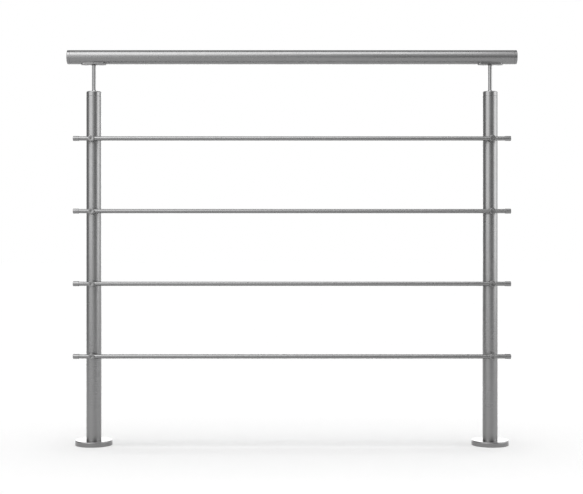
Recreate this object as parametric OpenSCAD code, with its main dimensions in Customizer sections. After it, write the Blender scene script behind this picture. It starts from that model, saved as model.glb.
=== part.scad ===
// One bay of a stainless steel balustrade: two round posts on covered floor flanges, four thin
// crossbars in front of the posts, and a round handrail carried on stems and curved saddles.
// Millimetres. The origin is on the floor, at the centre of the left flange's bottom face.
// +X runs along the bay, +Z is up, and the crossbars are on the -Y side of the posts.

/* [Bay] */
// Distance between the centre lines of the two posts
post_pitch = 1130; // [600:10:1800]
// Height of the top of the handrail above the floor
rail_top_h = 1125; // [850:1:1400]
// How far the handrail runs past the centre line of each post, end cap included
rail_overhang = 78; // [50:1:250]
// How far each crossbar runs past the centre line of each post, end cap included
bar_overhang = 52.5; // [40:0.5:200]

/* [Posts] */
// Outside diameter of the post tube
post_d = 42.4; // [33:0.1:60]
// Wall of the post tube
post_wall = 2; // [1.5:0.1:4]
// Height of the solid cap that shows above the tube
cap_rim_h = 14; // [8:0.5:25]
// Radius of the cap's top edge
cap_edge_r = 3; // [1:0.5:5]
// Length of the cap's spigot inside the tube
cap_spigot_l = 20; // [10:1:40]

/* [Handrail] */
// Outside diameter of the handrail tube
rail_d = 40; // [32:0.1:60]
// Wall of the handrail tube
rail_wall = 2; // [1.5:0.1:4]
// Thickness of the end cap at its rim
rail_cap_t = 8; // [4:0.5:15]
// How far the middle of the end cap stands out past its rim
rail_cap_crown = 3; // [0.5:0.1:5]
// Length of the end cap's spigot inside the tube
rail_cap_spigot_l = 15; // [8:1:30]

/* [Stems and saddles] */
// Length of stem that shows between the post cap and the saddle
stem_h = 75; // [30:1:150]
// Diameter of the stem
stem_d = 11; // [9:0.5:16]
// Diameter of the stem's collar on the post cap
stem_collar_d = 16; // [12:0.5:24]
// Diameter of the stem's foot inside the cap
stem_foot_d = 8; // [5:0.5:9]
// Length of the stem's foot inside the cap
stem_foot_l = 18; // [8:1:22]
// Length of the saddle along the handrail
saddle_l = 70; // [56:1:100]
// Width of the saddle across the handrail
saddle_w = 22; // [22:1:32]
// Thickness of the saddle plate
saddle_t = 3; // [2.5:0.1:4]
// Corner radius of the saddle plate
saddle_corner_r = 8; // [4:0.5:10]
// Distance from the stem's centre to each saddle screw
saddle_screw_x = 22; // [16:0.5:25]

/* [Crossbars] */
// Height of the lowest crossbar's centre above the floor
bar_first_h = 255; // [100:1:310]
// Distance from the top of the post tube down to the top crossbar's centre
bar_top_drop = 123; // [60:1:200]
// Outside diameter of the crossbar tube
bar_d = 12; // [8:0.5:16]
// Wall of the crossbar tube
bar_wall = 1; // [0.8:0.1:2]
// Length of the crossbar's end cap
bar_cap_l = 17; // [10:0.5:30]
// Thickness of the end cap's sleeve round the crossbar
bar_cap_wall = 0.9; // [0.6:0.1:3]
// Thickness of the end cap's closed end
bar_cap_end_t = 2; // [1:0.5:4]

/* [Crossbar holders] */
// Thickness of the holder above and below the crossbar
holder_wall = 2.9; // [2:0.1:6]
// Length of the holder between the post and the crossbar
holder_neck_l = 9.8; // [6:0.1:20]
// Length of the holder in front of the crossbar
holder_nose_l = 7; // [5:0.5:12]
// Diameter of the stud that holds the holder in the post's wall
holder_stud_d = 6; // [5:0.5:8]
// Length of the stud, measured from the post's surface inwards
holder_stud_l = 6; // [4:0.5:10]
// Diameter of the set screw that grips the crossbar
set_screw_d = 4; // [3:0.5:5]

/* [Feet] */
// Diameter of the floor flange
flange_d = 100; // [80:1:150]
// Thickness of the floor flange
flange_t = 6; // [5:0.5:8]
// Distance from the centre of each anchor hole to the flange's edge
anchor_edge = 12; // [10:0.5:15]
// Diameter of each anchor hole
anchor_d = 11; // [8:0.5:13]
// Height of the cover rosette
rosette_h = 14; // [11:0.5:25]
// Thickness of the cover rosette's sheet
rosette_t = 1.2; // [0.8:0.1:2]
// Radius of the cover rosette's top edge
rosette_edge_r = 2.5; // [2.2:0.1:5]

/* [Fits] */
// Gap all round between the flange and the rosette's wall
rosette_gap = 1.3; // [0.5:0.1:3]
// Gap all round between the post and the rosette's hole
rosette_hole_gap = 0.2; // [0.1:0.05:1]
// Gap all round between a spigot and its tube
spigot_gap = 0.1; // [0.05:0.05:0.5]
// Gap all round a crossbar in its holder and in its end cap
bar_gap = 0.1; // [0.05:0.05:0.4]
// Gap all round a stud or screw in its hole
screw_gap = 0.1; // [0.05:0.05:0.5]

/* [Hidden] */
$fn = 96;
bar_count = 4;
anchor_count = 4;
edge = 1;               // chamfer on the outer edge of a turned piece
seam = 0.5;             // chamfer where a cap meets its tube
cut = 1;                // how far a cutting shape runs past the surface it cuts
stem_collar_h = 4;
screw_d = 5;            // saddle screws
screw_head_d = 9.6;
screw_head_h = 2.3;
screw_inset = 0.6;      // head below the saddle's lowest line, so that its whole rim is sunk
screw_l = 16;
set_screw_inset = 1;
socket_share = 0.5;     // width across flats of a hexagon socket, as a share of the screw
socket_depth = 1.2;

post_r = post_d / 2;
rail_r = rail_d / 2;
bar_r = bar_d / 2;
saddle_r = rail_r + saddle_t;
rail_z = rail_top_h - rail_r;
saddle_z = rail_z - saddle_r;
cap_top_z = saddle_z - stem_h;
post_top_z = cap_top_z - cap_rim_h;
bar_step = (post_top_z - bar_top_drop - bar_first_h) / (bar_count - 1);
bar_y = -(post_r + holder_neck_l + bar_r);
bar_front_y = bar_y - bar_r;
holder_front_y = bar_front_y - holder_nose_l;
holder_d = bar_d + 2 * (bar_gap + holder_wall);
bar_cap_d = bar_d + 2 * (bar_gap + bar_cap_wall);
bar_tube_x = bar_overhang - bar_cap_end_t;
rail_rim_x = rail_overhang - rail_cap_crown;
rail_tube_x = rail_rim_x - rail_cap_t;
rosette_r = flange_d / 2 + rosette_gap + rosette_t;

STEEL = [0.66, 0.66, 0.66];
FITTING = [0.58, 0.58, 0.58];
SCREW = [0.45, 0.45, 0.45];

// Height of the centre of crossbar number i, counted from 1 at the bottom
function bar_z(i) = bar_first_h + (i - 1) * bar_step;

// Puts children at the right post, as the mirror image of the left one
module right() {
    translate([post_pitch, 0, 0]) mirror([1, 0, 0]) children();
}

// Turns the Z axis to +X, for pieces that lie along the bay
module along_x() {
    rotate([0, 90, 0]) children();
}

// Turns the Z axis to -X, for pieces that face the left end
module along_minus_x() {
    rotate([0, -90, 0]) children();
}

// Turns the Z axis to -Y, for pieces that face the front
module to_front() {
    rotate([90, 0, 0]) children();
}

// A length of tube along Z that starts at z = 0
module tube(d, wall, l) {
    difference() {
        cylinder(d = d, h = l);
        translate([0, 0, -cut]) cylinder(d = d - 2 * wall, h = l + 2 * cut);
    }
}

// A cylinder along Z with its own chamfer at each end
module turned(d, l, low, high) {
    cylinder(d1 = d - 2 * low, d2 = d, h = low);
    translate([0, 0, low]) cylinder(d = d, h = l - low - high);
    translate([0, 0, l - high]) cylinder(d1 = d, d2 = d - 2 * high, h = high);
}

// Half section of a low round box: radius r, height h, top edge radius e
module box_section(r, h, e) {
    square([r - e, h]);
    square([r, h - e]);
    translate([r - e, h - e]) circle(r = e);
}

// A flat rectangle with round corners, centred
module round_rectangle(l, w, r) {
    square([l - 2 * r, w], center = true);
    square([l, w - 2 * r], center = true);
    for (x = [-1, 1], y = [-1, 1])
        translate([x * (l / 2 - r), y * (w / 2 - r)]) circle(r = r);
}

// Hexagon socket that sinks from z = 0 upwards into a screw
module socket(d) {
    translate([0, 0, -cut])
        cylinder(d = d * socket_share * 2 / sqrt(3), h = socket_depth + cut, $fn = 6);
}

// ---- Feet ----

module base_flange() {
    color(FITTING) difference() {
        cylinder(d = flange_d, h = flange_t);
        for (k = [0:anchor_count - 1])
            rotate([0, 0, 360 * (k + 0.5) / anchor_count])
                translate([flange_d / 2 - anchor_edge, 0, -cut])
                    cylinder(d = anchor_d, h = flange_t + 2 * cut);
    }
}

// Thin cover over the flange, standing on the floor and open for the post
module rosette() {
    color(FITTING) difference() {
        rotate_extrude() intersection() {
            square([rosette_r, rosette_h]);
            difference() {
                box_section(rosette_r, rosette_h, rosette_edge_r);
                translate([0, -cut])
                    box_section(rosette_r - rosette_t, rosette_h - rosette_t + cut,
                                rosette_edge_r - rosette_t);
            }
        }
        cylinder(r = post_r + rosette_hole_gap, h = rosette_h + cut);
    }
}

// ---- Posts ----

module post() {
    color(STEEL) difference() {
        translate([0, 0, flange_t]) tube(post_d, post_wall, post_top_z - flange_t);
        for (i = [1:bar_count])
            translate([0, 0, bar_z(i)]) to_front()
                cylinder(d = holder_stud_d + 2 * screw_gap, h = post_r + cut);
    }
}

module post_cap() {
    color(FITTING) difference() {
        union() {
            translate([0, 0, post_top_z]) {
                cylinder(d1 = post_d - 2 * seam, d2 = post_d, h = seam);
                rotate_extrude() intersection() {
                    translate([0, seam]) square([post_r, cap_rim_h]);
                    box_section(post_r, cap_rim_h, cap_edge_r);
                }
            }
            translate([0, 0, post_top_z - cap_spigot_l])
                cylinder(d = post_d - 2 * (post_wall + spigot_gap), h = cap_spigot_l + seam);
        }
        translate([0, 0, cap_top_z - stem_foot_l])
            cylinder(d = stem_foot_d + 2 * screw_gap, h = stem_foot_l + cut);
    }
}

// ---- Handrail and what carries it ----

module stem() {
    color(STEEL) difference() {
        union() {
            translate([0, 0, cap_top_z - stem_foot_l])
                cylinder(d = stem_foot_d, h = stem_foot_l + stem_collar_h);
            translate([0, 0, cap_top_z])
                cylinder(d1 = stem_collar_d, d2 = stem_d, h = stem_collar_h);
            translate([0, 0, cap_top_z]) cylinder(d = stem_d, h = stem_h + saddle_t);
        }
        translate([-stem_d, 0, rail_z]) along_x() cylinder(r = saddle_r, h = 2 * stem_d);
    }
}

// Countersunk screw along Z with its head at z = 0, made larger all round by gap
module saddle_screw(gap) {
    cylinder(d1 = screw_head_d + 2 * gap, d2 = screw_d + 2 * gap, h = screw_head_h);
    cylinder(d = screw_d + 2 * gap, h = screw_l);
}

module at_saddle_screws() {
    for (x = [-saddle_screw_x, saddle_screw_x])
        translate([x, 0, saddle_z + screw_inset]) children();
}

module saddle() {
    color(FITTING) difference() {
        intersection() {
            translate([-saddle_l / 2, 0, rail_z]) along_x() tube(2 * saddle_r, saddle_t, saddle_l);
            translate([0, 0, saddle_z]) linear_extrude(saddle_r)
                round_rectangle(saddle_l, saddle_w, saddle_corner_r);
        }
        at_saddle_screws() {
            saddle_screw(screw_gap);
            translate([0, 0, -cut]) cylinder(d = screw_head_d + 2 * screw_gap, h = cut);
        }
    }
}

module saddle_screws() {
    color(SCREW) at_saddle_screws() difference() {
        saddle_screw(0);
        socket(screw_d);
    }
}

module handrail() {
    color(STEEL) difference() {
        translate([-rail_tube_x, 0, rail_z]) along_x()
            tube(rail_d, rail_wall, post_pitch + 2 * rail_tube_x);
        at_saddle_screws() saddle_screw(screw_gap);
        right() at_saddle_screws() saddle_screw(screw_gap);
    }
}

// Closed end of the handrail: a spigot, a rim and a slightly crowned face
module handrail_cap() {
    ball_r = (rail_r * rail_r + rail_cap_crown * rail_cap_crown) / (2 * rail_cap_crown);
    color(FITTING) translate([-rail_tube_x, 0, rail_z]) along_minus_x() {
        cylinder(d1 = rail_d - 2 * seam, d2 = rail_d, h = seam);
        rotate_extrude() intersection() {
            translate([0, seam]) square([rail_r, rail_overhang]);
            translate([0, rail_cap_t + rail_cap_crown - ball_r]) circle(r = ball_r, $fn = 720);
        }
        translate([0, 0, -rail_cap_spigot_l])
            cylinder(d = rail_d - 2 * (rail_wall + spigot_gap), h = rail_cap_spigot_l + seam);
    }
}

// ---- Crossbars ----

module crossbar(i) {
    color(STEEL) translate([-bar_tube_x, bar_y, bar_z(i)]) along_x()
        tube(bar_d, bar_wall, post_pitch + 2 * bar_tube_x);
}

// Closed sleeve over the end of a crossbar
module bar_cap(i) {
    color(FITTING) translate([-bar_overhang + bar_cap_l, bar_y, bar_z(i)]) along_minus_x()
        difference() {
            turned(bar_cap_d, bar_cap_l, seam, edge);
            translate([0, 0, -cut])
                cylinder(d = bar_d + 2 * bar_gap, h = bar_cap_l - bar_cap_end_t + cut);
        }
}

// Round block from the post's surface to its nose, bored for the crossbar and the set screw
module holder(i) {
    color(FITTING) translate([0, 0, bar_z(i)]) difference() {
        union() {
            difference() {
                to_front() turned(holder_d, -holder_front_y, 0, edge);
                translate([0, 0, -holder_d]) cylinder(d = post_d, h = 2 * holder_d);
            }
            translate([0, -(post_r - holder_stud_l), 0]) to_front()
                cylinder(d = holder_stud_d, h = holder_stud_l + cut);
        }
        translate([-holder_d, bar_y, 0]) along_x() cylinder(d = bar_d + 2 * bar_gap, h = 2 * holder_d);
        translate([0, bar_y, 0]) to_front()
            cylinder(d = set_screw_d + 2 * screw_gap, h = bar_r + holder_nose_l + cut);
    }
}

// The four set screws of one post, each from just inside the nose to the crossbar
module set_screws() {
    color(SCREW) for (i = [1:bar_count])
        translate([0, holder_front_y + set_screw_inset, bar_z(i)]) rotate([-90, 0, 0]) difference() {
            cylinder(d = set_screw_d, h = holder_nose_l - set_screw_inset);
            socket(set_screw_d);
        }
}

// ---- One module for each node ----

module left_base_flange() { base_flange(); }
module left_rosette() { rosette(); }
module left_post() { post(); }
module left_post_cap() { post_cap(); }
module left_stem() { stem(); }
module left_saddle() { saddle(); }
module left_saddle_screws() { saddle_screws(); }
module left_set_screws() { set_screws(); }
module left_holder_1() { holder(1); }
module left_holder_2() { holder(2); }
module left_holder_3() { holder(3); }
module left_holder_4() { holder(4); }
module right_base_flange() { right() base_flange(); }
module right_rosette() { right() rosette(); }
module right_post() { right() post(); }
module right_post_cap() { right() post_cap(); }
module right_stem() { right() stem(); }
module right_saddle() { right() saddle(); }
module right_saddle_screws() { right() saddle_screws(); }
module right_set_screws() { right() set_screws(); }
module right_holder_1() { right() holder(1); }
module right_holder_2() { right() holder(2); }
module right_holder_3() { right() holder(3); }
module right_holder_4() { right() holder(4); }
module crossbar_1() { crossbar(1); }
module crossbar_2() { crossbar(2); }
module crossbar_3() { crossbar(3); }
module crossbar_4() { crossbar(4); }
module left_bar_cap_1() { bar_cap(1); }
module left_bar_cap_2() { bar_cap(2); }
module left_bar_cap_3() { bar_cap(3); }
module left_bar_cap_4() { bar_cap(4); }
module right_bar_cap_1() { right() bar_cap(1); }
module right_bar_cap_2() { right() bar_cap(2); }
module right_bar_cap_3() { right() bar_cap(3); }
module right_bar_cap_4() { right() bar_cap(4); }
module left_handrail_cap() { handrail_cap(); }
module right_handrail_cap() { right() handrail_cap(); }

left_base_flange();
left_rosette();
left_post();
left_post_cap();
left_stem();
left_saddle();
left_saddle_screws();
left_set_screws();
left_holder_1();
left_holder_2();
left_holder_3();
left_holder_4();
right_base_flange();
right_rosette();
right_post();
right_post_cap();
right_stem();
right_saddle();
right_saddle_screws();
right_set_screws();
right_holder_1();
right_holder_2();
right_holder_3();
right_holder_4();
crossbar_1();
crossbar_2();
crossbar_3();
crossbar_4();
left_bar_cap_1();
left_bar_cap_2();
left_bar_cap_3();
left_bar_cap_4();
right_bar_cap_1();
right_bar_cap_2();
right_bar_cap_3();
right_bar_cap_4();
handrail();
left_handrail_cap();
right_handrail_cap();
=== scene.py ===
# %% [markdown]
# # One bay of a stainless steel balustrade
# The bay is two round posts on covered floor flanges, four thin crossbars clamped in front of
# them, and a round handrail on slim stems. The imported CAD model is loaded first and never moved.
# Each visible piece is then made again with the rounded edges, screws and welds of the real one,
# at the place that the CAD gives, and gets a stainless finish built from nodes.

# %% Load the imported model
import math

import bmesh
import bpy
from mathutils import Matrix, Vector


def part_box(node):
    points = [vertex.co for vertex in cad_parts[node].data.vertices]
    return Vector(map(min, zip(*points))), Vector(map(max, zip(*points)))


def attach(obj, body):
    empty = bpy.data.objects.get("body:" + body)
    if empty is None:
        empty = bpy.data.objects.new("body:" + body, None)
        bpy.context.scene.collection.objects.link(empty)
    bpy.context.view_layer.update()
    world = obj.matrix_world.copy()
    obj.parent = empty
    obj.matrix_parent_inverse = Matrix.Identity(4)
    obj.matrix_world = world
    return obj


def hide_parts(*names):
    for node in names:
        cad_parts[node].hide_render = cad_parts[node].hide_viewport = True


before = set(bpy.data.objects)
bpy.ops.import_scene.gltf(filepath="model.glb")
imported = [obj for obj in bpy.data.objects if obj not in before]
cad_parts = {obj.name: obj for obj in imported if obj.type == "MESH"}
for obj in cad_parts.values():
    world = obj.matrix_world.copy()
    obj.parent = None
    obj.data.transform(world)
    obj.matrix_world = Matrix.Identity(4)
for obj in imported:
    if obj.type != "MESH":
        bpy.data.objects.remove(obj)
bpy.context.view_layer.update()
MM = 0.001


# %% [markdown]
# ## Sizes
# Everything is measured on the CAD pieces, so that a piece made here fits its neighbours.
# Only what CAD leaves out, such as the radius of a polished edge, has a size of its own.

# %% Measure the CAD pieces
def middle(node):
    low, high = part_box(node)
    return (low + high) / 2


def size(node):
    low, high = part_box(node)
    return high - low


SIDES = ("left", "right")
ROWS = (1, 2, 3, 4)
post_x = {side: middle(f"{side}_post").x for side in SIDES}
post_r = size("left_post").x / 2
post_foot, post_top = (corner.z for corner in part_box("left_post"))
cap_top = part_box("left_post_cap")[1].z
rail_r = size("handrail").z / 2
rail_z = middle("handrail").z
rail_x = [corner.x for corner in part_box("handrail")]
rail_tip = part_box("right_handrail_cap")[1].x
bar_r = size("crossbar_1").z / 2
bar_y = middle("crossbar_1").y
bar_z = [middle(f"crossbar_{row}").z for row in ROWS]
bar_x = [corner.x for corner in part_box("crossbar_1")]
bar_cap_r = size("left_bar_cap_1").z / 2
bar_cap_l = size("left_bar_cap_1").x
bar_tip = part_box("left_bar_cap_1")[0].x
holder_r = size("left_holder_1").z / 2
holder_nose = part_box("left_holder_1")[0].y
saddle_l, saddle_w = size("left_saddle").x, size("left_saddle").y
saddle_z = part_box("left_saddle")[0].z
saddle_t = rail_z - rail_r - saddle_z
stem_collar_r = size("left_stem").x / 2
rosette_r = size("left_rosette").x / 2
rosette_h = size("left_rosette").z
screw_span = size("left_saddle_screws").x
screw_head_r = size("left_saddle_screws").y / 2
screw_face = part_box("left_saddle_screws")[0].z
set_screw_r = size("left_set_screws").x / 2
set_screw_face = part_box("left_set_screws")[0].y
STEM_R = 5.5 * MM
EDGE = 0.6 * MM
print(f"post radius {post_r:.4f}, handrail axis {rail_z:.4f}, crossbars at {[round(z, 3) for z in bar_z]}")


# %% [markdown]
# ## Turned pieces
# Most pieces of a railing come off a lathe: a side view is turned once round an axis. The side
# view is a list of radius and height, and each corner may be given a radius, as a file or a
# polishing wheel leaves it. A point is added on both sides of every rounded corner, because
# smooth shading would otherwise carry the bend of the corner along the whole straight tube.

# %% Side views with rounded corners
CORNER_STEPS = 4


def side_view(corners, closed=False):
    """corners: (radius from the axis, height, rounding). Returns points with the corners rounded."""
    points, count = [], len(corners)
    for i, (r, z, rounding) in enumerate(corners):
        here = Vector((r, z))
        ends = not closed and i in (0, count - 1)
        if ends or not rounding:
            points.append(here)
            continue
        before = Vector(corners[i - 1][:2]) - here
        after = Vector(corners[(i + 1) % count][:2]) - here
        half = before.angle(after) / 2
        reach = min(rounding / math.tan(half), 0.45 * before.length, 0.45 * after.length)
        a, b = before.normalized(), after.normalized()
        points.append(here + a * min(reach * 1.4, 0.49 * before.length))
        for k in range(CORNER_STEPS + 1):
            t = k / CORNER_STEPS
            points.append((1 - t) ** 2 * (here + a * reach) + 2 * t * (1 - t) * here + t * t * (here + b * reach))
        points.append(here + b * min(reach * 1.4, 0.49 * after.length))
    return points


# %% Turn a side view round an axis
AXES = {
    "Z": Matrix.Identity(4),
    "-Z": Matrix.Rotation(math.pi, 4, "X"),
    "X": Matrix.Rotation(math.pi / 2, 4, "Y"),
    "-Y": Matrix.Rotation(math.pi / 2, 4, "X"),
}


def hexagon(angle):
    """Distance from the centre of a hexagon to its side, where the flats are 1 away."""
    return 1 / math.cos((angle + math.pi / 6) % (math.pi / 3) - math.pi / 6)


def turned(name, points, axis="Z", closed=False, steps=96, six_sided=()):
    """A mesh object made by turning points round an axis; rows in six_sided follow a hexagon."""
    bm = bmesh.new()
    rings = []
    for i, (r, z) in enumerate(points):
        if r < 1e-7:
            rings.append([bm.verts.new((0, 0, z))])
            continue
        ring = []
        for k in range(steps):
            angle = 2 * math.pi * k / steps
            reach = r * (hexagon(angle) if i in six_sided else 1)
            ring.append(bm.verts.new((reach * math.cos(angle), reach * math.sin(angle), z)))
        rings.append(ring)
    pairs = list(zip(rings, rings[1:])) + ([(rings[-1], rings[0])] if closed else [])
    for low, high in pairs:
        for k in range(steps):
            corner = [low[k % len(low)], low[(k + 1) % len(low)], high[(k + 1) % len(high)], high[k % len(high)]]
            corner = list(dict.fromkeys(corner))
            if len(corner) > 2:
                bm.faces.new(corner)
    return finished(name, bm, AXES[axis])


def finished(name, bm, turn=Matrix.Identity(4), sharp=40):
    """Closes a bmesh into an object with outward normals and smooth faces between sharp edges."""
    bmesh.ops.remove_doubles(bm, verts=bm.verts, dist=1e-7)
    bmesh.ops.transform(bm, matrix=turn, verts=bm.verts)
    bmesh.ops.recalc_face_normals(bm, faces=bm.faces)
    mesh = bpy.data.meshes.new(name)
    bm.to_mesh(mesh)
    bm.free()
    return shown(name, mesh, sharp)


def smoothed(mesh, sharp):
    for polygon in mesh.polygons:
        polygon.use_smooth = True
    mesh.set_sharp_from_angle(angle=math.radians(sharp))


def shown(name, mesh, sharp=40):
    smoothed(mesh, sharp)
    obj = bpy.data.objects.new(name, mesh)
    bpy.context.scene.collection.objects.link(obj)
    return obj


# %% [markdown]
# ## Copies
# The two ends of the bay are the same, so each turned piece is made once at the origin and a
# Geometry Nodes tree puts it on a list of places. A place is a vertex with a number, turn, which
# says how far the copy is turned round the vertical. The tree ends in Realize Instances and Set
# Material, and the result becomes a plain mesh, because copies that stay instances are lost when
# the model is exported.

# %% Build the tree that copies a piece to its places
def add_socket(tree, name, kind, in_out="INPUT"):
    return tree.interface.new_socket(name=name, in_out=in_out, socket_type=kind).identifier


def node_maker(tree):
    def make(kind, links=None, **values):
        node = tree.nodes.new(kind)
        for key, value in values.items():
            setattr(node, key, value)
        for key, value in (links or {}).items():
            if isinstance(value, bpy.types.NodeSocket):
                tree.links.new(value, node.inputs[key])
            else:
                node.inputs[key].default_value = value
        return node

    return make


def copies_tree():
    tree = bpy.data.node_groups.new("Copies at places", "GeometryNodeTree")
    ids = {
        "Places": add_socket(tree, "Places", "NodeSocketGeometry"),
        "Piece": add_socket(tree, "Piece", "NodeSocketObject"),
        "Finish": add_socket(tree, "Finish", "NodeSocketMaterial"),
    }
    add_socket(tree, "Copies", "NodeSocketGeometry", "OUTPUT")
    make = node_maker(tree)
    given = make("NodeGroupInput").outputs
    piece = make("GeometryNodeObjectInfo", {"Object": given["Piece"], "As Instance": True})
    turn = make("GeometryNodeInputNamedAttribute", {"Name": "turn"}, data_type="FLOAT")
    angles = make("ShaderNodeCombineXYZ", {"Z": turn.outputs["Attribute"]})
    rotation = make("FunctionNodeEulerToRotation", {"Euler": angles.outputs[0]})
    copies = make("GeometryNodeInstanceOnPoints", {
        "Points": given["Places"], "Instance": piece.outputs["Geometry"], "Rotation": rotation.outputs[0]})
    real = make("GeometryNodeRealizeInstances", {"Geometry": copies.outputs[0]})
    coated = make("GeometryNodeSetMaterial", {"Geometry": real.outputs[0], "Material": given["Finish"]})
    make("NodeGroupOutput", {"Copies": coated.outputs[0]})
    return tree, ids


COPIES, COPIES_IDS = copies_tree()


def plain_mesh(obj, name, sharp=40):
    """What obj looks like after its modifiers, as a new object without any."""
    bpy.context.view_layer.update()
    seen = obj.evaluated_get(bpy.context.evaluated_depsgraph_get())
    mesh = bpy.data.meshes.new_from_object(seen)
    mesh.name = name
    for rest in list(mesh.attributes):
        if rest.name == "turn":
            mesh.attributes.remove(rest)
    bpy.data.objects.remove(obj)
    return shown(name, mesh, sharp)


def copied(name, piece, places, finish):
    """Puts piece at every place, given as (x, y, z, turn in degrees), and returns one plain object."""
    mesh = bpy.data.meshes.new(name + "_places")
    mesh.from_pydata([place[:3] for place in places], [], [])
    turn = mesh.attributes.new("turn", "FLOAT", "POINT")
    for i, place in enumerate(places):
        turn.data[i].value = math.radians(place[3])
    holder = bpy.data.objects.new(name + "_places", mesh)
    bpy.context.scene.collection.objects.link(holder)
    modifier = holder.modifiers.new("Copies", "NODES")
    modifier.node_group = COPIES
    modifier[COPIES_IDS["Piece"]] = piece
    modifier[COPIES_IDS["Finish"]] = finish
    result = plain_mesh(holder, name)
    bpy.data.objects.remove(piece)
    print(f"{name}: {len(places)} copies, {len(result.data.polygons)} faces")
    return result


def settle(obj, slot, *nodes):
    """Attaches a piece to the root body and hides the CAD nodes it stands for; slot is not used."""
    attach(obj, "root")
    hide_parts(*nodes)
    return obj


def both(part):
    return [f"{side}_{part}" for side in SIDES]


# %% [markdown]
# ## Stainless finishes
# Satin stainless is ground with a fine belt. A tube spins against the belt, so its grain runs
# round it, and the grain spreads a reflection along the tube more than round it. Four shader
# groups are shared by all finishes: the grain, the faint clouding that cleaning and hands leave,
# dust in sheltered corners and near the floor, and a painted highlight that lightens the colour
# along edges. Each material places them with its own values and keeps its constants on its own
# sockets, where an export can read them.

# %% Shader groups
def shader_group(name, inputs, outputs):
    tree = bpy.data.node_groups.new(name, "ShaderNodeTree")
    for label, kind, value in inputs:
        socket = tree.interface.new_socket(name=label, in_out="INPUT", socket_type=kind)
        if value is not None:
            socket.default_value = value
    for label, kind in outputs:
        tree.interface.new_socket(name=label, in_out="OUTPUT", socket_type=kind)
    make = node_maker(tree)
    return tree, make, make("NodeGroupInput").outputs


def grain_group():
    """Grain: fine scratches, with their spacing set along each axis."""
    tree, make, given = shader_group(
        "Belt grain",
        [("Point", "NodeSocketVector", None), ("Spacing", "NodeSocketVector", (60, 60, 1400)),
         ("Contrast", "NodeSocketFloat", 1.0)],
        [("Mask", "NodeSocketFloat"), ("Height", "NodeSocketFloat")])
    stretched = make("ShaderNodeVectorMath", {0: given["Point"], 1: given["Spacing"]}, operation="MULTIPLY")
    fine = make("ShaderNodeTexNoise", {"Vector": stretched.outputs[0], "Scale": 1.0, "Detail": 2.0, "Roughness": 0.6})
    broad = make("ShaderNodeTexNoise", {"Vector": stretched.outputs[0], "Scale": 0.4, "Detail": 1.0})
    both_scales = make("ShaderNodeMath", {0: fine.outputs["Fac"], 1: broad.outputs["Fac"]}, operation="ADD")
    centred = make("ShaderNodeMath", {0: both_scales.outputs[0], 1: -1.0}, operation="ADD")
    spread = make("ShaderNodeMath", {0: centred.outputs[0], 1: given["Contrast"], 2: 0.5}, operation="MULTIPLY_ADD",
                  use_clamp=True)
    make("NodeGroupOutput", {"Mask": spread.outputs[0], "Height": fine.outputs["Fac"]})
    return tree


def clouding_group():
    """Clouding: wide soft patches and a few smaller smears."""
    tree, make, given = shader_group(
        "Clouding", [("Point", "NodeSocketVector", None), ("Patch scale", "NodeSocketFloat", 7.0),
                     ("Smear scale", "NodeSocketFloat", 42.0)],
        [("Mask", "NodeSocketFloat")])
    patch = make("ShaderNodeTexNoise", {"Vector": given["Point"], "Scale": given["Patch scale"], "Detail": 2.0})
    smear = make("ShaderNodeTexNoise", {"Vector": given["Point"], "Scale": given["Smear scale"], "Detail": 4.0,
                                        "Distortion": 0.6})
    mixed = make("ShaderNodeMath", {0: patch.outputs["Fac"], 1: smear.outputs["Fac"]}, operation="MULTIPLY")
    ranged = make("ShaderNodeMapRange", {"Value": mixed.outputs[0], "From Min": 0.16, "From Max": 0.36})
    make("NodeGroupOutput", {"Mask": ranged.outputs[0]})
    return tree


def edge_highlight_group():
    """Painted edge highlight: 1 where the surface turns within Width, 0 on flats."""
    tree, make, given = shader_group(
        "Edge polish", [("Width", "NodeSocketFloat", 0.0008), ("Strength", "NodeSocketFloat", 3.0)],
        [("Mask", "NodeSocketFloat")])
    rounded = make("ShaderNodeBevel", {"Radius": given["Width"]}, samples=4)
    plain = make("ShaderNodeNewGeometry")
    alike = make("ShaderNodeVectorMath", {0: rounded.outputs[0], 1: plain.outputs["Normal"]}, operation="DOT_PRODUCT")
    apart = make("ShaderNodeMath", {0: 1.0, 1: alike.outputs["Value"]}, operation="SUBTRACT")
    mask = make("ShaderNodeMath", {0: apart.outputs[0], 1: given["Strength"]}, operation="MULTIPLY", use_clamp=True)
    make("NodeGroupOutput", {"Mask": mask.outputs[0]})
    return tree


def dust_group():
    """Dust: grows in sheltered corners and towards the floor."""
    tree, make, given = shader_group(
        "Dust", [("Point", "NodeSocketVector", None), ("Reach", "NodeSocketFloat", 0.02),
                 ("Floor height", "NodeSocketFloat", 0.12)],
        [("Mask", "NodeSocketFloat")])
    shelter = make("ShaderNodeAmbientOcclusion", {"Distance": given["Reach"]}, samples=6)
    corner = make("ShaderNodeMapRange", {"Value": shelter.outputs["AO"], "From Min": 0.9, "From Max": 0.35})
    height = make("ShaderNodeSeparateXYZ", {0: given["Point"]})
    low = make("ShaderNodeMapRange", {"Value": height.outputs["Z"], "From Min": given["Floor height"], "From Max": 0.0})
    speck = make("ShaderNodeTexNoise", {"Vector": given["Point"], "Scale": 260.0, "Detail": 5.0})
    where = make("ShaderNodeMath", {0: corner.outputs[0], 1: low.outputs[0]}, operation="MAXIMUM")
    mask = make("ShaderNodeMath", {0: where.outputs[0], 1: speck.outputs["Fac"]}, operation="MULTIPLY", use_clamp=True)
    make("NodeGroupOutput", {"Mask": mask.outputs[0]})
    return tree


# The edge group gives the mask of the painted highlight along edges.
GROUPS = {"grain": grain_group(), "clouding": clouding_group(), "edge": edge_highlight_group(), "dust": dust_group()}
print("shader groups:", [tree.name for tree in GROUPS.values()])


# %% Assemble a stainless finish
def grey(level):
    return (level, level, level * 1.005, 1.0)


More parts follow.
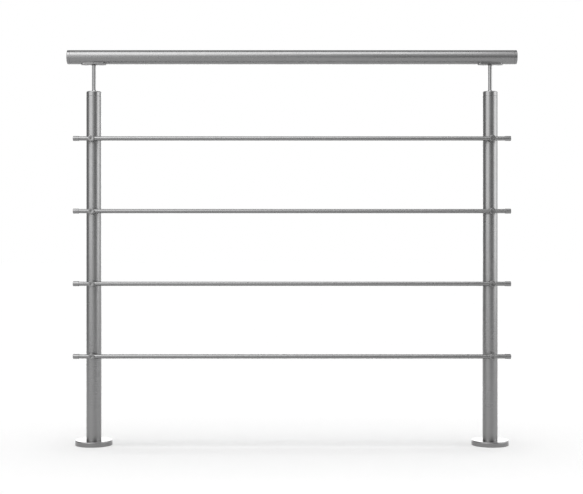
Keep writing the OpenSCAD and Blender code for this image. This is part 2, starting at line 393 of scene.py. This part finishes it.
def stainless(name, level, roughness, spacing, grain=0.05, haze=0.12, painted_highlight=0.25, dust=0.12, bump=0.02):
    """Metal of one brightness, with grain spacing in lines a metre along X, Y and Z."""
    material = bpy.data.materials.new(name)
    material.use_nodes = True
    tree = material.node_tree
    tree.nodes.clear()
    make = node_maker(tree)
    point = make("ShaderNodeTexCoord").outputs["Object"]

    def group(key, **values):
        node = make("ShaderNodeGroup", node_tree=GROUPS[key])
        for label, value in values.items():
            node.inputs[label].default_value = value
        if "Point" in node.inputs:
            tree.links.new(point, node.inputs["Point"])
        return node

    lines = group("grain", Spacing=spacing)
    cloud = group("clouding")
    # edges: mask of the painted highlight along edges.
    edges = group("edge")
    dusty = group("dust")

    def blend(a, b, factor):
        node = make("ShaderNodeMix", data_type="RGBA")
        for key, value in ((6, a), (7, b), (0, factor)):
            if isinstance(value, bpy.types.NodeSocket):
                tree.links.new(value, node.inputs[key])
            else:
                node.inputs[key].default_value = value
        return node.outputs[2]

    def scaled(mask, amount):
        return make("ShaderNodeMath", {0: mask, 1: amount}, operation="MULTIPLY").outputs[0]

    colour = blend(grey(level * (1 - grain)), grey(level * (1 + grain)), lines.outputs["Mask"])
    colour = blend(colour, grey(level * 0.8), scaled(cloud.outputs["Mask"], haze))
    # Painted highlight: the colour is lightened to 1.5 times the level along edges that the edge mask finds.
    colour = blend(colour, grey(min(level * 1.5, 0.9)), scaled(edges.outputs["Mask"], painted_highlight))
    colour = blend(colour, (0.36, 0.35, 0.33, 1), scaled(dusty.outputs["Mask"], dust))
    rough = make("ShaderNodeMath", {0: lines.outputs["Mask"], 1: 0.06, 2: roughness - 0.03}, operation="MULTIPLY_ADD")
    rough = make("ShaderNodeMath", {0: cloud.outputs["Mask"], 1: 0.05, 2: rough.outputs[0]}, operation="MULTIPLY_ADD")
    rough = make("ShaderNodeMath", {0: dusty.outputs["Mask"], 1: dust, 2: rough.outputs[0]}, operation="MULTIPLY_ADD",
                 use_clamp=True)
    relief = make("ShaderNodeBump", {"Height": lines.outputs["Height"], "Strength": bump, "Distance": 0.0002})
    shader = make("ShaderNodeBsdfPrincipled", {
        "Base Color": colour, "Roughness": rough.outputs[0], "Normal": relief.outputs[0], "Metallic": 1.0})
    make("ShaderNodeOutputMaterial", {"Surface": shader.outputs[0]})
    return material


LEVEL = 0.24
ROUND_Z, ROUND_X, ROUND_Y = (60, 60, 1600), (1600, 60, 60), (60, 1600, 60)
finishes = {
    "post_tube": stainless("Ground post tube", LEVEL, 0.27, ROUND_Z),
    "handrail_tube": stainless("Ground handrail tube", LEVEL, 0.27, ROUND_X),
    "bar_tube": stainless("Drawn crossbar tube", LEVEL, 0.25, ROUND_X),
    "fitting": stainless("Turned fitting", LEVEL, 0.22, ROUND_Z, painted_highlight=0.15),
    "holder": stainless("Turned holder", LEVEL, 0.24, ROUND_Y, painted_highlight=0.15),
    "end_cap": stainless("Turned end cap", LEVEL, 0.22, ROUND_X, painted_highlight=0.3),
    "rosette": stainless("Pressed cover", LEVEL, 0.15, (500, 500, 500), grain=0.04, dust=0.1, bump=0.01),
    "flange": stainless("Mill flange", LEVEL * 0.8, 0.42, (300, 300, 300), dust=0.4),
    "screw": stainless("Socket screw", LEVEL * 0.8, 0.25, (900, 900, 900)),
}

# %% [markdown]
# ## Posts and their caps
# A post is a tube that stands on its flange. Its cap is turned from solid bar: a small chamfer at
# the bottom makes the fine dark line where it meets the tube, and its top edge is rounded over.

# %% Posts
WALL = 2 * MM
tube = turned("post", side_view([
    (post_r, post_foot, 0), (post_r, post_top, 0.5 * MM), (post_r - WALL, post_top, 0.3 * MM),
    (post_r - WALL, post_foot, 0), (post_r, post_foot, 0)])[:-1], closed=True, steps=128)
posts = copied("post_tubes", tube, [(post_x[side], 0, 0, 0) for side in SIDES], finishes["post_tube"])
settle(posts, "post_tube", *both("post"))

# %% Post caps
SEAM = 0.5 * MM
cap = turned("cap", side_view([
    (0, post_top - 20 * MM, 0), (post_r - WALL - 0.1 * MM, post_top - 20 * MM, 1 * MM),
    (post_r - WALL - 0.1 * MM, post_top, 0), (post_r - SEAM, post_top, 0.1 * MM),
    (post_r, post_top + SEAM, 0.2 * MM), (post_r, cap_top, 2.8 * MM), (stem_collar_r, cap_top, 0), (0, cap_top, 0)]),
    steps=128)
caps = copied("post_caps", cap, [(post_x[side], 0, 0, 0) for side in SIDES], finishes["fitting"])
settle(caps, "fitting", *both("post_cap"))

# %% [markdown]
# ## Stems, saddles and their welds
# A slim stem is screwed into the cap, where it spreads into a small collar, and is welded to a
# plate that is bent to the handrail. The weld is a ring of small overlapping beads, so Geometry
# Nodes set a round bead at each step round a circle, a little uneven in size with a fixed seed.

# %% Stems
stem = turned("stem", side_view([
    (0, cap_top - 18 * MM, 0), (4 * MM, cap_top - 18 * MM, 0.5 * MM), (4 * MM, cap_top, 0),
    (stem_collar_r, cap_top, 0.3 * MM), (stem_collar_r - 1.2 * MM, cap_top + 1.6 * MM, 1.2 * MM),
    (STEM_R, cap_top + 4 * MM, 2 * MM), (STEM_R, saddle_z + 0.3 * MM, 0), (0, saddle_z + 0.3 * MM, 0)]), steps=64)
stems = copied("handrail_stems", stem, [(post_x[side], 0, 0, 0) for side in SIDES], finishes["fitting"])
settle(stems, "fitting", *both("stem"))


# %% Saddle plates, bent to the tube and drilled for their screws
def bent_plate(name, length, width, inner, thick, corner, steps=(70, 28)):
    """A plate with round corners, curved round the X axis at height 0, hanging below it."""
    bm = bmesh.new()
    layers = []
    for radius in (inner, inner + thick):
        rows = []
        for i in range(steps[0] + 1):
            x = (i / steps[0] - 0.5) * length
            x = math.copysign(length / 2 * math.sin(abs(x) / (length / 2) * math.pi / 2) ** 0.9, x) if x else 0.0
            past = max(0.0, abs(x) - (length / 2 - corner))
            half = width / 2 - corner + math.sqrt(max(corner * corner - past * past, 0.0))
            row = []
            for j in range(steps[1] + 1):
                y = (j / steps[1] * 2 - 1) * half
                row.append(bm.verts.new((x, y, -math.sqrt(radius * radius - y * y))))
            rows.append(row)
        layers.append(rows)
    for rows in layers:
        for a, b in zip(rows, rows[1:]):
            for j in range(steps[1]):
                bm.faces.new((a[j], a[j + 1], b[j + 1], b[j]))
    upper, lower = layers
    for j in (0, steps[1]):
        for i in range(steps[0]):
            bm.faces.new((upper[i][j], upper[i + 1][j], lower[i + 1][j], lower[i][j]))
    for i in (0, steps[0]):
        for j in range(steps[1]):
            bm.faces.new((upper[i][j], upper[i][j + 1], lower[i][j + 1], lower[i][j]))
    return finished(name, bm)


def tidied(mesh, near, front):
    """Closes up slivers that a cut leaves, and joins flat faces that lie behind front along Y."""
    bm = bmesh.new()
    bm.from_mesh(mesh)
    bmesh.ops.remove_doubles(bm, verts=bm.verts, dist=near)
    bmesh.ops.dissolve_degenerate(bm, edges=bm.edges, dist=near)
    behind = [vert for vert in bm.verts if vert.co.y > front]
    between = [edge for edge in bm.edges if all(vert.co.y > front for vert in edge.verts)]
    bmesh.ops.dissolve_limit(bm, angle_limit=math.radians(0.5), verts=behind, edges=between)
    bmesh.ops.recalc_face_normals(bm, faces=bm.faces)
    bm.to_mesh(mesh)
    bm.free()


def cut_and_bevelled(piece, cutters, name, width, front=-1.0, near=0.002 * MM):
    """piece less the cutters, with a small bevel on every hard edge; near suits the size of the slivers."""
    for cutter in cutters:
        cut = piece.modifiers.new("Cut", "BOOLEAN")
        cut.operation, cut.object, cut.solver = "DIFFERENCE", cutter, "EXACT"
    block = plain_mesh(piece, name + "_cut")
    tidied(block.data, 0.02 * MM, front)
    for cutter in cutters:
        bpy.data.objects.remove(cutter)
    bevel = block.modifiers.new("Edge", "BEVEL")
    bevel.width, bevel.segments, bevel.limit_method, bevel.angle_limit = width, 2, "ANGLE", math.radians(40)
    result = plain_mesh(block, name)
    tidied(result.data, near, front)
    smoothed(result.data, 50)
    return result


plate = bent_plate("plate", saddle_l, saddle_w, rail_r, saddle_t, 8 * MM)
screw_x = screw_span / 2 - screw_head_r
sinks = []
for sign in (-1, 1):
    sink = turned("sink", [Vector(p) for p in (
        (0, -6 * MM), (screw_head_r + 0.15 * MM, -6 * MM), (screw_head_r + 0.15 * MM, 0), (2.6 * MM, 2.3 * MM),
        (2.6 * MM, 8 * MM), (0, 8 * MM))], steps=48)
    sink.data.transform(Matrix.Translation((sign * screw_x, 0, screw_face - rail_z)))
    sinks.append(sink)
plate = cut_and_bevelled(plate, sinks, "saddle", 0.35 * MM)
saddles = copied("handrail_saddles", plate, [(post_x[side], 0, rail_z, 0) for side in SIDES], finishes["fitting"])
settle(saddles, "fitting", *both("saddle"))


# %% Weld beads round the top of each stem
def weld_tree():
    tree = bpy.data.node_groups.new("Weld ring", "GeometryNodeTree")
    ids = {label: add_socket(tree, label, kind) for label, kind in (
        ("Places", "NodeSocketGeometry"), ("Ring radius", "NodeSocketFloat"), ("Bead radius", "NodeSocketFloat"),
        ("Beads", "NodeSocketInt"), ("Seed", "NodeSocketInt"), ("Finish", "NodeSocketMaterial"))}
    add_socket(tree, "Welds", "NodeSocketGeometry", "OUTPUT")
    make = node_maker(tree)
    given = make("NodeGroupInput").outputs
    ring = make("GeometryNodeMeshCircle", {"Vertices": given["Beads"], "Radius": given["Ring radius"]})
    bead = make("GeometryNodeMeshUVSphere", {"Segments": 10, "Rings": 6, "Radius": given["Bead radius"]})
    uneven = make("FunctionNodeRandomValue", {2: 0.85, 3: 1.12, "Seed": given["Seed"]}, data_type="FLOAT")
    beads = make("GeometryNodeInstanceOnPoints", {
        "Points": ring.outputs[0], "Instance": bead.outputs[0], "Scale": uneven.outputs[1]})
    rings = make("GeometryNodeInstanceOnPoints", {"Points": given["Places"], "Instance": beads.outputs[0]})
    real = make("GeometryNodeRealizeInstances", {"Geometry": rings.outputs[0]})
    smooth = make("GeometryNodeSetShadeSmooth", {"Geometry": real.outputs[0]})
    coated = make("GeometryNodeSetMaterial", {"Geometry": smooth.outputs[0], "Material": given["Finish"]})
    make("NodeGroupOutput", {"Welds": coated.outputs[0]})
    return tree, ids


weld_mesh = bpy.data.meshes.new("weld_places")
weld_mesh.from_pydata([(post_x[side], 0, saddle_z) for side in SIDES], [], [])
weld_holder = bpy.data.objects.new("weld_places", weld_mesh)
bpy.context.scene.collection.objects.link(weld_holder)
WELD, WELD_IDS = weld_tree()
weld_modifier = weld_holder.modifiers.new("Weld", "NODES")
weld_modifier.node_group = WELD
for label, value in (("Ring radius", STEM_R), ("Bead radius", 1.1 * MM), ("Beads", 26), ("Seed", 4),
                     ("Finish", finishes["flange"])):
    weld_modifier[WELD_IDS[label]] = value
welds = plain_mesh(weld_holder, "stem_welds")
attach(welds, "root")
print("welds:", len(welds.data.polygons), "faces")

# %% [markdown]
# ## Handrail
# The handrail is one tube with a cap driven into each end. The cap has a short straight rim and a
# crowned face, and the two small chamfers where it meets the tube show as a thin line.

# %% Handrail tube and end caps
rail_l = rail_x[1] - rail_x[0]
rail = turned("handrail_tube", side_view([
    (rail_r, 0, 0.4 * MM), (rail_r, rail_l, 0.4 * MM), (rail_r - WALL, rail_l, 0.3 * MM), (rail_r - WALL, 0, 0.3 * MM)],
    closed=True), axis="X", closed=True, steps=160)
rail.data.transform(Matrix.Translation((rail_x[0], 0, rail_z)))
rail.data.materials.append(finishes["handrail_tube"])
settle(rail, "handrail_tube", "handrail")

reach = rail_tip - rail_x[1]
crown = 3 * MM
face_r = (rail_r ** 2 + crown ** 2) / (2 * crown)
face = [(rail_r * s, reach - face_r + math.sqrt(face_r ** 2 - (rail_r * s) ** 2), 0) for s in (0.8, 0.6, 0.4, 0.2, 0)]
end = turned("end", side_view([
    (0, -15 * MM, 0), (rail_r - WALL - 0.1 * MM, -15 * MM, 1 * MM), (rail_r - WALL - 0.1 * MM, 0, 0),
    (rail_r - SEAM, 0, 0.1 * MM), (rail_r, SEAM, 0.2 * MM), (rail_r, reach - crown, 1.2 * MM)] + face),
    axis="X", steps=128)
ends = copied("handrail_end_caps", end, [(rail_x[1], 0, rail_z, 0), (rail_x[0], 0, rail_z, 180)], finishes["end_cap"])
settle(ends, "fitting", *both("handrail_cap"))

# %% [markdown]
# ## Crossbars
# The crossbars are a row of the same tube at an even spacing, which is a rule and not a list of
# places. A tree of its own lays a line of points upwards and puts the tube on each.

# %% Build the row of crossbars
def row_tree():
    tree = bpy.data.node_groups.new("Row of bars", "GeometryNodeTree")
    ids = {label: add_socket(tree, label, kind) for label, kind in (
        ("Geometry", "NodeSocketGeometry"), ("Bar", "NodeSocketObject"), ("Count", "NodeSocketInt"),
        ("First", "NodeSocketVector"), ("Step", "NodeSocketVector"), ("Finish", "NodeSocketMaterial"))}
    add_socket(tree, "Bars", "NodeSocketGeometry", "OUTPUT")
    make = node_maker(tree)
    given = make("NodeGroupInput").outputs
    line = make("GeometryNodeMeshLine", {
        "Count": given["Count"], "Start Location": given["First"], "Offset": given["Step"]})
    bar = make("GeometryNodeObjectInfo", {"Object": given["Bar"], "As Instance": True})
    row = make("GeometryNodeInstanceOnPoints", {"Points": line.outputs[0], "Instance": bar.outputs["Geometry"]})
    real = make("GeometryNodeRealizeInstances", {"Geometry": row.outputs[0]})
    coated = make("GeometryNodeSetMaterial", {"Geometry": real.outputs[0], "Material": given["Finish"]})
    make("NodeGroupOutput", {"Bars": coated.outputs[0]})
    return tree, ids


bar_l = bar_x[1] - bar_x[0]
bar = turned("bar", side_view([
    (bar_r, 0, 0.3 * MM), (bar_r, bar_l, 0.3 * MM), (bar_r - 1 * MM, bar_l, 0.2 * MM), (bar_r - 1 * MM, 0, 0.2 * MM)],
    closed=True), axis="X", closed=True, steps=64)
ROW, ROW_IDS = row_tree()
row_holder = bpy.data.objects.new("row", bpy.data.meshes.new("row"))
bpy.context.scene.collection.objects.link(row_holder)
row_modifier = row_holder.modifiers.new("Row", "NODES")
row_modifier.node_group = ROW
for label, value in (("Bar", bar), ("Count", len(bar_z)), ("First", (bar_x[0], bar_y, bar_z[0])),
                     ("Step", (0.0, 0.0, (bar_z[-1] - bar_z[0]) / (len(bar_z) - 1))), ("Finish", finishes["bar_tube"])):
    row_modifier[ROW_IDS[label]] = value
bars = plain_mesh(row_holder, "crossbars")
bpy.data.objects.remove(bar)
settle(bars, "bar_tube", *[f"crossbar_{row}" for row in ROWS])
print("crossbars:", len(bars.data.polygons), "faces")

# %% Crossbar end caps
sleeve = turned("sleeve", side_view([
    (0, bar_cap_l, 0), (bar_cap_r, bar_cap_l, 1 * MM), (bar_cap_r, 0, 0.4 * MM), (bar_r + 0.1 * MM, 0, 0.15 * MM),
    (bar_r + 0.1 * MM, bar_cap_l - 2 * MM, 0), (0, bar_cap_l - 2 * MM, 0)]), axis="X", steps=64)
left_mouth, right_mouth = bar_tip + bar_cap_l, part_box("right_bar_cap_1")[0].x
places = [(right_mouth, bar_y, z, 0) for z in bar_z] + [(left_mouth, bar_y, z, 180) for z in bar_z]
bar_caps = copied("crossbar_end_caps", sleeve, places, finishes["end_cap"])
settle(bar_caps, "fitting", *[f"{side}_bar_cap_{row}" for side in SIDES for row in ROWS])

# %% [markdown]
# ## Crossbar holders
# A holder is turned from bar, hollowed at its foot so that it sits on the round post, bored
# across for the crossbar, and tapped in its nose for a set screw. The bores are cut with the
# exact boolean and every hard edge then gets a small bevel, as deburring leaves.

# %% Holders
blank = turned("blank", side_view([
    (0, post_r - 4 * MM, 0), (holder_r, post_r - 4 * MM, 0), (holder_r, -holder_nose, 1.6 * MM), (0, -holder_nose, 0)]),
    axis="-Y", steps=96)
seat = turned("seat", [Vector(p) for p in (
    (0, -0.03), (post_r + 0.00002, -0.03), (post_r + 0.00002, 0.03), (0, 0.03))], steps=192)
bore = turned("bore", [Vector(p) for p in (
    (0, -0.02), (bar_r + 0.1 * MM, -0.02), (bar_r + 0.1 * MM, 0.02), (0, 0.02))], axis="X", steps=64)
bore.data.transform(Matrix.Translation((0, bar_y, 0)))
tapping = turned("tapping", [Vector(p) for p in (
    (0, -bar_y), (set_screw_r + 0.1 * MM, -bar_y), (set_screw_r + 0.1 * MM, 0.06), (0, 0.06))], axis="-Y", steps=96)
block = cut_and_bevelled(blank, [seat, bore, tapping], "holder", 0.3 * MM, holder_nose + 1.3 * MM, 0.01 * MM)
holder_places = [(post_x[side], 0, z, 0) for side in SIDES for z in bar_z]
holders = copied("crossbar_holders", block, holder_places, finishes["holder"])
settle(holders, "fitting", *[f"{side}_holder_{row}" for side in SIDES for row in ROWS])


# %% [markdown]
# ## Screws
# All screws have a hexagon socket. The rows of the side view that belong to the socket follow a
# hexagon instead of a circle, which needs no cutting at all.

# %% Set screws and saddle screws
def socket_screw(name, outline, socket_r, deep, axis):
    """A screw whose face is at height 0 and whose body goes to negative heights."""
    points = side_view(outline)
    first = len(points)
    points += [Vector(p) for p in ((socket_r * 1.12, 0), (socket_r, -0.08 * deep), (socket_r, -deep), (0, -deep * 1.2))]
    return turned(name, points, axis=axis, steps=48, six_sided=range(first, first + 3))


set_screw = socket_screw("set_screw", [
    (0, set_screw_face - bar_y + bar_r, 0), (set_screw_r * 0.8, set_screw_face - bar_y + bar_r, 0.2 * MM),
    (set_screw_r, set_screw_face - bar_y + bar_r + 0.5 * MM, 0.2 * MM), (set_screw_r, 0, 0.3 * MM),
    (set_screw_r * 0.75, 0, 0)], 1 * MM, 1.4 * MM, "-Y")
set_screws = copied("set_screws", set_screw, [(x, set_screw_face, z, 0) for x, _, z, _ in holder_places], finishes["screw"])
settle(set_screws, "screw", *both("set_screws"))

saddle_screw = socket_screw("saddle_screw", [
    (0, -15.5 * MM, 0), (2.5 * MM, -15.5 * MM, 0.5 * MM), (2.5 * MM, -2.3 * MM, 0.2 * MM),
    (screw_head_r, 0, 0.2 * MM), (2 * MM, 0, 0)], 1.5 * MM, 1.6 * MM, "-Z")
screw_places = [(post_x[side] + sign * screw_x, 0, screw_face, 0) for side in SIDES for sign in (-1, 1)]
saddle_screws = copied("saddle_screws", saddle_screw, screw_places, finishes["screw"])
settle(saddle_screws, "screw", *both("saddle_screws"))

# %% [markdown]
# ## Feet
# The rosette is a thin pressed cover that slides down the post and hides the flange and its
# anchors. Its edge is rolled over, which catches a bright line all round, and its finish adds a
# painted highlight along that edge. The flange under it has the right shape in the CAD already,
# so it keeps its mesh and only gets a finish.

# %% Rosettes and flanges
SHEET = 1.2 * MM
cover = turned("cover", side_view([
    (rosette_r, 0, 0.3 * MM), (rosette_r, rosette_h, 2.5 * MM), (post_r + 0.2 * MM, rosette_h, 0.4 * MM),
    (post_r + 0.2 * MM, rosette_h - SHEET, 0.3 * MM), (rosette_r - SHEET, rosette_h - SHEET, 1.3 * MM),
    (rosette_r - SHEET, 0, 0.3 * MM)], closed=True), closed=True, steps=160)
covers = copied("floor_rosettes", cover, [(post_x[side], 0, 0, 0) for side in SIDES], finishes["rosette"])
settle(covers, "rosette", *both("rosette"))
for node in both("base_flange"):
    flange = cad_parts[node]
    for slot in flange.material_slots:
        slot.material = finishes["flange"]

# %% [markdown]
# ## Studio
# A pale floor and a white surround. The white is given to camera, glossy and transmission rays
# only, so that it fills the background and shows in the metal while the lamps keep a plain level.
# Polished metal shows its surroundings more than its own colour, so a studio puts large soft
# panels and black cards round it: each panel becomes a bright band down the tube and each card a
# dark one. The cards are out of the camera's sight and cast no shadow.

# %% Floor
FLOOR_HALF = 40
FLOOR_Z = -0.1 * MM
floor_mesh = bpy.data.meshes.new("floor")
floor_mesh.from_pydata([(x * FLOOR_HALF, y * FLOOR_HALF, FLOOR_Z) for x, y in ((-1, -1), (1, -1), (1, 1), (-1, 1))], [],
                       [(0, 1, 2, 3)])
floor = bpy.data.objects.new("floor", floor_mesh)
bpy.context.scene.collection.objects.link(floor)
floor_finish = bpy.data.materials.new("White floor")
floor_finish.use_nodes = True
floor_finish.node_tree.nodes.clear()
make = node_maker(floor_finish.node_tree)
matt = make("ShaderNodeBsdfDiffuse", {"Color": (1, 1, 1, 1)})
make("ShaderNodeOutputMaterial", {"Surface": matt.outputs[0]})
floor_mesh.materials.append(floor_finish)

# %% Surround
SOFT_LEVEL = 0.03
world = bpy.data.worlds.new("Surround")
bpy.context.scene.world = world
world.use_nodes = True
world.node_tree.nodes.clear()
make = node_maker(world.node_tree)
ray = make("ShaderNodeLightPath").outputs
seen = make("ShaderNodeMath", {0: ray["Is Camera Ray"], 1: ray["Is Glossy Ray"]}, operation="MAXIMUM")
seen = make("ShaderNodeMath", {0: seen.outputs[0], 1: ray["Is Transmission Ray"]}, operation="MAXIMUM")
soft = make("ShaderNodeBackground", {"Color": (1, 1, 1, 1), "Strength": SOFT_LEVEL})
white = make("ShaderNodeBackground", {"Color": (1, 1, 1, 1), "Strength": 1.0})
mixed = make("ShaderNodeMixShader", {0: seen.outputs[0], 1: soft.outputs[0], 2: white.outputs[0]})
make("ShaderNodeOutputWorld", {"Surface": mixed.outputs[0]})


# %% Lamps and cards
def aimed(obj, place, target):
    obj.location = place
    obj.rotation_euler = (Vector(target) - Vector(place)).to_track_quat("-Z", "Y").to_euler()
    bpy.context.scene.collection.objects.link(obj)
    return obj


def panel(name, place, target, wide, high, brightness):
    """A soft rectangular lamp that reflections show, where a brightness of 1 is white."""
    lamp = bpy.data.lights.new(name, "AREA")
    lamp.shape, lamp.size, lamp.size_y = "RECTANGLE", wide, high
    lamp.energy = brightness * math.pi * wide * high
    obj = aimed(bpy.data.objects.new(name, lamp), place, target)
    obj.visible_camera = obj.visible_diffuse = False
    return obj


CARD_LEVEL = 0.42
grey_card = bpy.data.materials.new("Grey card")
grey_card.use_nodes = True
grey_card.node_tree.nodes.clear()
make = node_maker(grey_card.node_tree)
even = make("ShaderNodeEmission", {"Color": (1, 1, 1, 1), "Strength": CARD_LEVEL})
make("ShaderNodeOutputMaterial", {"Surface": even.outputs[0]})


def card(name, place, target, wide, high):
    """A grey card that only reflections show."""
    mesh = bpy.data.meshes.new(name)
    mesh.from_pydata([(x * wide / 2, y * high / 2, 0) for x, y in ((-1, -1), (1, -1), (1, 1), (-1, 1))], [],
                     [(0, 1, 2, 3)])
    mesh.materials.append(grey_card)
    obj = aimed(bpy.data.objects.new(name, mesh), place, target)
    obj.visible_camera = obj.visible_diffuse = obj.visible_transmission = obj.visible_shadow = False
    return obj


centre = Vector(((post_x["left"] + post_x["right"]) / 2, 0, 0.6))
sun = bpy.data.lights.new("overhead", "SUN")
sun.energy, sun.angle = 0.975 * math.pi, math.radians(53)
overhead = aimed(bpy.data.objects.new("overhead", sun), (0, 0, 4), (0, 0, 0))
overhead.visible_glossy = False
panel("front_left", (-2.9, -3.4, 1.7), (0.2, 0, 1.0), 4.6, 2.4, 1.45)
panel("front_high", (-0.9, -2.6, 3.3), centre, 3.0, 1.6, 1.8)
panel("above", (-0.3, -1.15, 3.4), (-0.3, -1.15, 0), 3.6, 1.7, 2.35)
panel("right", (3.9, -0.4, 1.5), centre, 3.0, 2.4, 1.85)
panel("behind", (0.56, 6.0, 1.1), (0.56, 0, 0.6), 6.0, 1.8, 1.7)
card("front_card", (2.8, -4.1, 1.4), (2.8, 0, 1.4), 4.0, 2.8)
card("left_card", (-2.4, 1.6, 1.3), (0.5, 1.6, 1.3), 4.2, 2.6)
card("top_card", (0.56, 1.3, 3.0), (0.56, 0, 1.1), 4.0, 2.4)

# %% [markdown]
# ## Camera
# The camera stands level, a little over three metres in front, at half the height of the bay,
# with a longish lens, so the posts stay upright and the tops of the rosettes just show.

# %% Camera
view = bpy.data.cameras.new("view")
view.lens, view.sensor_width = 73.4, 36
camera = bpy.data.objects.new("view", view)
camera.location = (0.5636, -3.391, 0.5638)
camera.rotation_euler = (math.pi / 2, 0, 0)
bpy.context.scene.collection.objects.link(camera)
bpy.context.scene.camera = camera
bpy.context.scene.view_settings.view_transform = "Standard"
